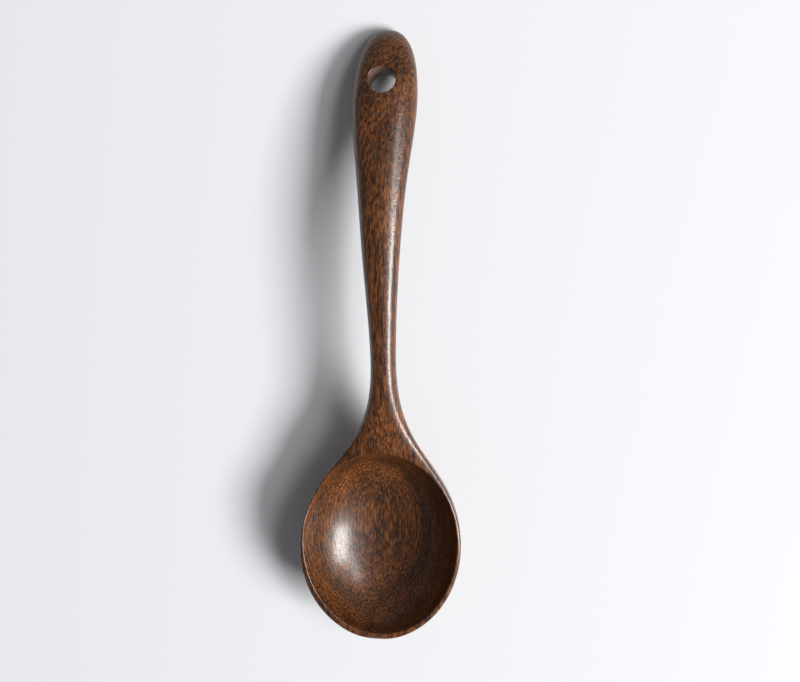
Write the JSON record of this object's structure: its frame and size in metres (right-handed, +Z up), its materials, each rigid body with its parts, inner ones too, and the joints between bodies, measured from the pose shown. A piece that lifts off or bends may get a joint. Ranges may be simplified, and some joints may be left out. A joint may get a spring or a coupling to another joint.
{
  "type": "wooden spoon",
  "caption": "Wooden serving spoon with a deep oval bowl, broad shoulders, slim neck and arched handle with a hanging hole near its rounded end.",
  "frame": {"origin": "centre of the spoon's footprint on the table it lies on, bowl open upwards, at the height of the table", "axes": "+X along the spoon from the front of the bowl to the end of the handle, +Z up out of the bowl, +Y across"},
  "size_m": [0.2394, 0.0648, 0.0315],
  "materials": {
    "oiled_wood": "satin, oiled, dark brown with fine lengthwise grain"
  },
  "bodies": {
    "root": {"spoon": "oiled_wood"}
  },
  "joints": []
}
